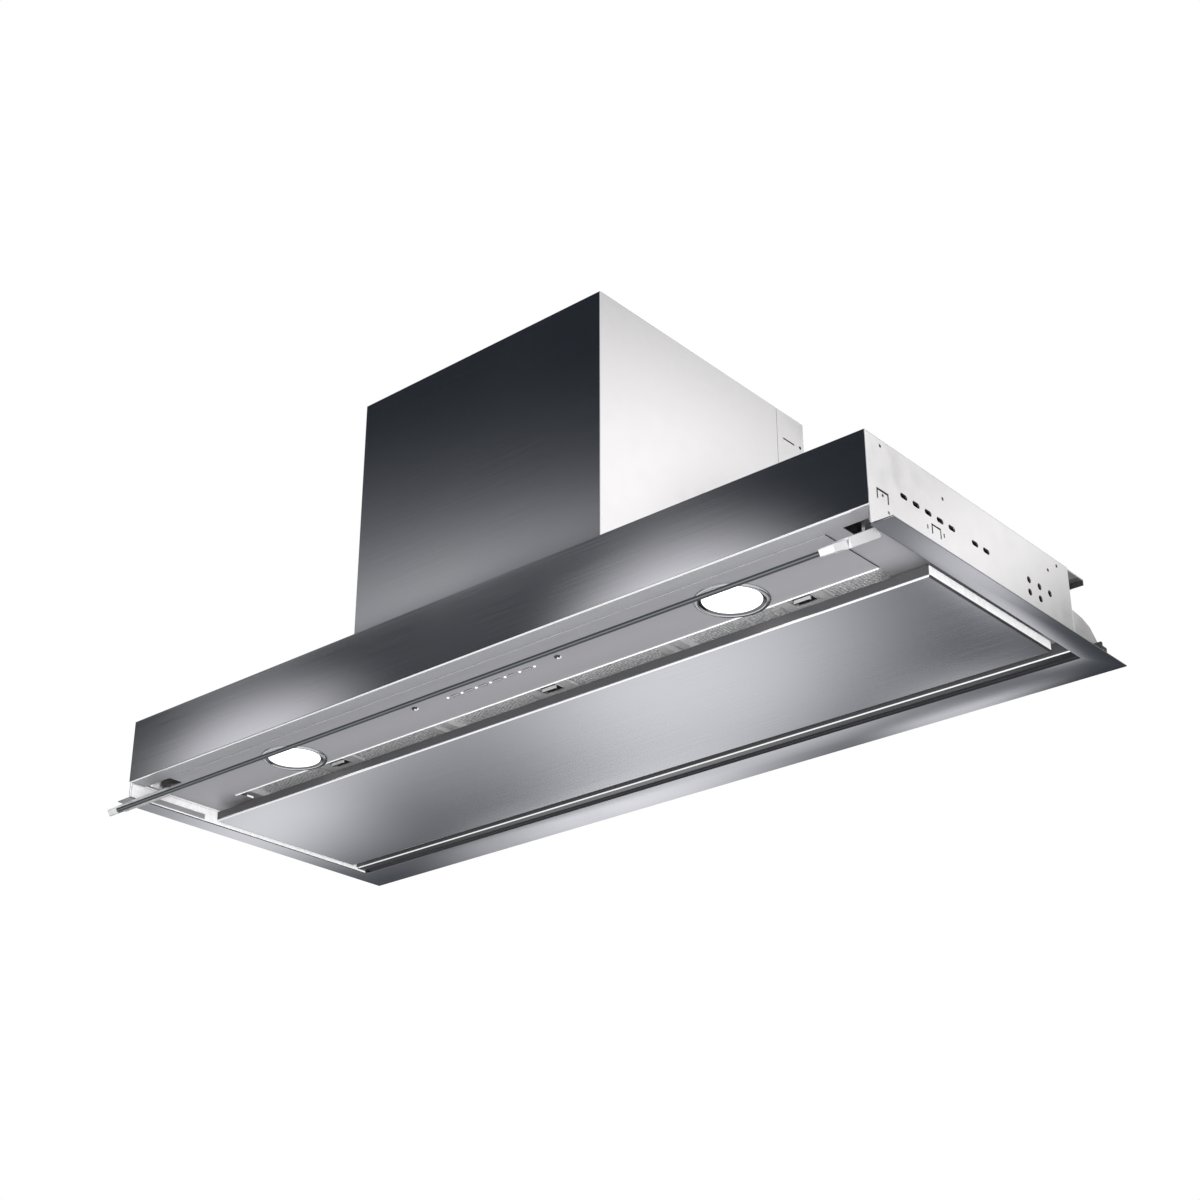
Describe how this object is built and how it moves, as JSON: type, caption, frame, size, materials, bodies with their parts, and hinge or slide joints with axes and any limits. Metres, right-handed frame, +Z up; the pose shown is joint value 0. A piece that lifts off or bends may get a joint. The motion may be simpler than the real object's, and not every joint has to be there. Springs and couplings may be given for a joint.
{
  "type": "built-in range hood",
  "caption": "Built-in range hood with a tilting glass visor, edge-suction panel, grease filters, spot lamps, push buttons and a boxed fan with a duct collar.",
  "frame": {"origin": "middle of the top face of the rear flange strip, where the cabinet's underside rests", "axes": "+X along the hood to the right as seen from the front, +Y towards the wall, +Z up"},
  "size_m": [0.898, 0.3831, 0.4224],
  "materials": {
    "brushed_front": "brushed along the hood, satin",
    "brushed_under": "brushed along the hood, satin",
    "bright_sheet": "smooth light sheet",
    "aluminium": "satin",
    "polished": "polished ring",
    "lamp_glass": "frosted, lit from behind",
    "visor_glass": "clear, green edge",
    "black_plastic": "matt black",
    "white_plastic": "matt white",
    "board": "circuit board",
    "dark_iron": "dark paint"
  },
  "bodies": {
    "hood": {"front_fascia": "brushed_front", "side_panel_left": "bright_sheet", "side_panel_right": "bright_sheet", "rear_panel": "bright_sheet", "top_plate": "bright_sheet", "ledge_edging": "black_plastic", "flange_frame": "brushed_under", "rear_gusset_left": "bright_sheet", "rear_gusset_right": "bright_sheet", "gusset_clips": "black_plastic", "ceiling_plate": "brushed_under", "light_strip": "brushed_under", "strip_screws": "black_plastic", "lamp_rim_left": "polished", "lamp_rim_right": "polished", "lamp_lens_left": "lamp_glass", "lamp_lens_right": "lamp_glass", "lamp_body_left": "aluminium", "lamp_body_right": "aluminium", "control_board": "board", "key_lights": "lamp_glass", "filter_deck": "bright_sheet", "filter_frame_left": "aluminium", "filter_frame_middle": "aluminium", "filter_frame_right": "aluminium", "filter_mesh_left": "aluminium", "filter_mesh_middle": "aluminium", "filter_mesh_right": "aluminium", "panel_hinges": "bright_sheet", "panel_magnets": "black_plastic", "visor_brackets": "bright_sheet", "motor_cover": "brushed_front", "rear_box": "bright_sheet", "box_lid": "bright_sheet", "outlet_collar": "bright_sheet", "fan_housing": "bright_sheet", "fan_motor": "dark_iron", "motor_arms": "bright_sheet", "electronics_box": "white_plastic", "cable_inlet": "black_plastic"},
    "visor": {"visor_glass": "visor_glass", "visor_clamp_left": "aluminium", "visor_clamp_right": "aluminium", "visor_pin_left": "polished", "visor_pin_right": "polished"},
    "panel": {"suction_panel": "brushed_under", "panel_liner": "aluminium"},
    "wheel": {"fan_wheel": "black_plastic", "fan_shaft": "polished"},
    "flap_a": {"flap_front": "black_plastic"},
    "flap_b": {"flap_rear": "black_plastic"},
    "key_1": {"button_1": "aluminium"},
    "key_2": {"button_2": "aluminium"},
    "key_3": {"button_3": "aluminium"},
    "key_4": {"button_4": "aluminium"},
    "key_5": {"button_5": "aluminium"},
    "key_6": {"button_6": "aluminium"},
    "latch_left": {"filter_latch_left": "polished"},
    "latch_middle": {"filter_latch_middle": "polished"},
    "latch_right": {"filter_latch_right": "polished"}
  },
  "joints": [
    {"name": "visor_pivot", "type": "hinge", "parent": "hood", "child": "visor", "pos_m": [0, -0.305, 0.0056], "axis": [1, 0, 0], "range_deg": [0, 148.4]},
    {"name": "panel_hinge", "type": "hinge", "parent": "hood", "child": "panel", "pos_m": [0, -0.049, 0.0083], "axis": [1, 0, 0], "range_deg": [0, 85]},
    {"name": "latch_left_slide", "type": "slide", "parent": "hood", "child": "latch_left", "axis": [0, 1, 0], "range_m": [0, 0.005], "stiffness_N_per_m": 200, "springref_m": -0.004},
    {"name": "latch_middle_slide", "type": "slide", "parent": "hood", "child": "latch_middle", "axis": [0, 1, 0], "range_m": [0, 0.005], "stiffness_N_per_m": 200, "springref_m": -0.004},
    {"name": "latch_right_slide", "type": "slide", "parent": "hood", "child": "latch_right", "axis": [0, 1, 0], "range_m": [0, 0.005], "stiffness_N_per_m": 200, "springref_m": -0.004},
    {"name": "key_1_press", "type": "slide", "parent": "hood", "child": "key_1", "axis": [0, 0, 1], "range_m": [0, 0.0008], "stiffness_N_per_m": 500, "springref_m": -0.001},
    {"name": "key_2_press", "type": "slide", "parent": "hood", "child": "key_2", "axis": [0, 0, 1], "range_m": [0, 0.0008], "stiffness_N_per_m": 500, "springref_m": -0.001},
    {"name": "key_3_press", "type": "slide", "parent": "hood", "child": "key_3", "axis": [0, 0, 1], "range_m": [0, 0.0008], "stiffness_N_per_m": 500, "springref_m": -0.001},
    {"name": "key_4_press", "type": "slide", "parent": "hood", "child": "key_4", "axis": [0, 0, 1], "range_m": [0, 0.0008], "stiffness_N_per_m": 500, "springref_m": -0.001},
    {"name": "key_5_press", "type": "slide", "parent": "hood", "child": "key_5", "axis": [0, 0, 1], "range_m": [0, 0.0008], "stiffness_N_per_m": 500, "springref_m": -0.001},
    {"name": "key_6_press", "type": "slide", "parent": "hood", "child": "key_6", "axis": [0, 0, 1], "range_m": [0, 0.0008], "stiffness_N_per_m": 500, "springref_m": -0.001},
    {"name": "wheel_spin", "type": "hinge", "parent": "hood", "child": "wheel", "pos_m": [0, -0.182, 0.2108], "axis": [1, 0, 0], "continuous": true},
    {"name": "flap_a_pivot", "type": "hinge", "parent": "hood", "child": "flap_a", "pos_m": [0, -0.122, 0.3497], "axis": [-1, 0, 0], "range_deg": [0, 78]},
    {"name": "flap_b_pivot", "type": "hinge", "parent": "hood", "child": "flap_b", "pos_m": [0, -0.114, 0.3497], "axis": [1, 0, 0], "range_deg": [0, 78]}
  ]
}
